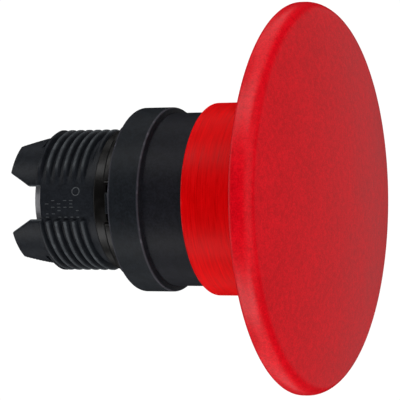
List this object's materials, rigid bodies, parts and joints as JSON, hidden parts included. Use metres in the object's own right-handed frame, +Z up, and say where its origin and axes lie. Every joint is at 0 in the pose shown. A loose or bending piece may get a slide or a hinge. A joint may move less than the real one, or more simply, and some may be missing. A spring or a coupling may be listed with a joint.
{
  "type": "mushroom push button head",
  "caption": "Panel push button head with a large red mushroom cap on a short black threaded barrel with rear latching claws; spring return.",
  "frame": {"origin": "on the button's axis in the panel hole, 1 mm behind the panel's front face, which is the middle of a 2 mm panel", "axes": "-Y along the axis out of the panel towards the operator, +Y back into the panel, +Z up, X across; the claws are at +Z and -Z, the locating key at -X"},
  "size_m": [0.06, 0.052, 0.06],
  "materials": {
    "cap_red": "fine spark-textured red moulded plastic, satin sheen",
    "skirt_red": "smooth red plastic with fine marks round the axis",
    "body_black": "black glass-filled plastic, semi-matte",
    "bezel_black": "black plastic with a very fine even texture",
    "neck_black": "black plastic, even satin",
    "seal_rubber": "black rubber, slightly oily gloss",
    "slide_grey": "grey low-friction plastic",
    "spring_steel": "bright drawn or stamped steel",
    "insert_brass": "plain turned brass"
  },
  "bodies": {
    "housing": {"threaded_body": "body_black", "bezel_ring": "bezel_black", "guide_neck": "neck_black", "panel_gasket": "seal_rubber", "neck_o_ring": "seal_rubber", "guide_bush": "slide_grey", "rear_spring_washer": "spring_steel", "bump_stop_ring": "seal_rubber", "return_spring": "spring_steel"},
    "button": {"mushroom_cap": "cap_red", "cap_skirt": "skirt_red", "cap_hub": "neck_black", "wiper_seal": "seal_rubber", "plunger_stem": "slide_grey", "stem_o_ring": "seal_rubber", "front_spring_washer": "spring_steel", "threaded_insert": "insert_brass", "cap_screw": "spring_steel", "screw_lock_washer": "spring_steel", "pusher_ring": "slide_grey", "pusher_circlip": "spring_steel"}
  },
  "joints": [
    {"name": "press", "type": "slide", "parent": "housing", "child": "button", "axis": [0, 1, 0], "range_m": [0, 0.0043], "stiffness_N_per_m": 1400, "springref_m": -0.0043, "deforming": ["return_spring"]}
  ]
}
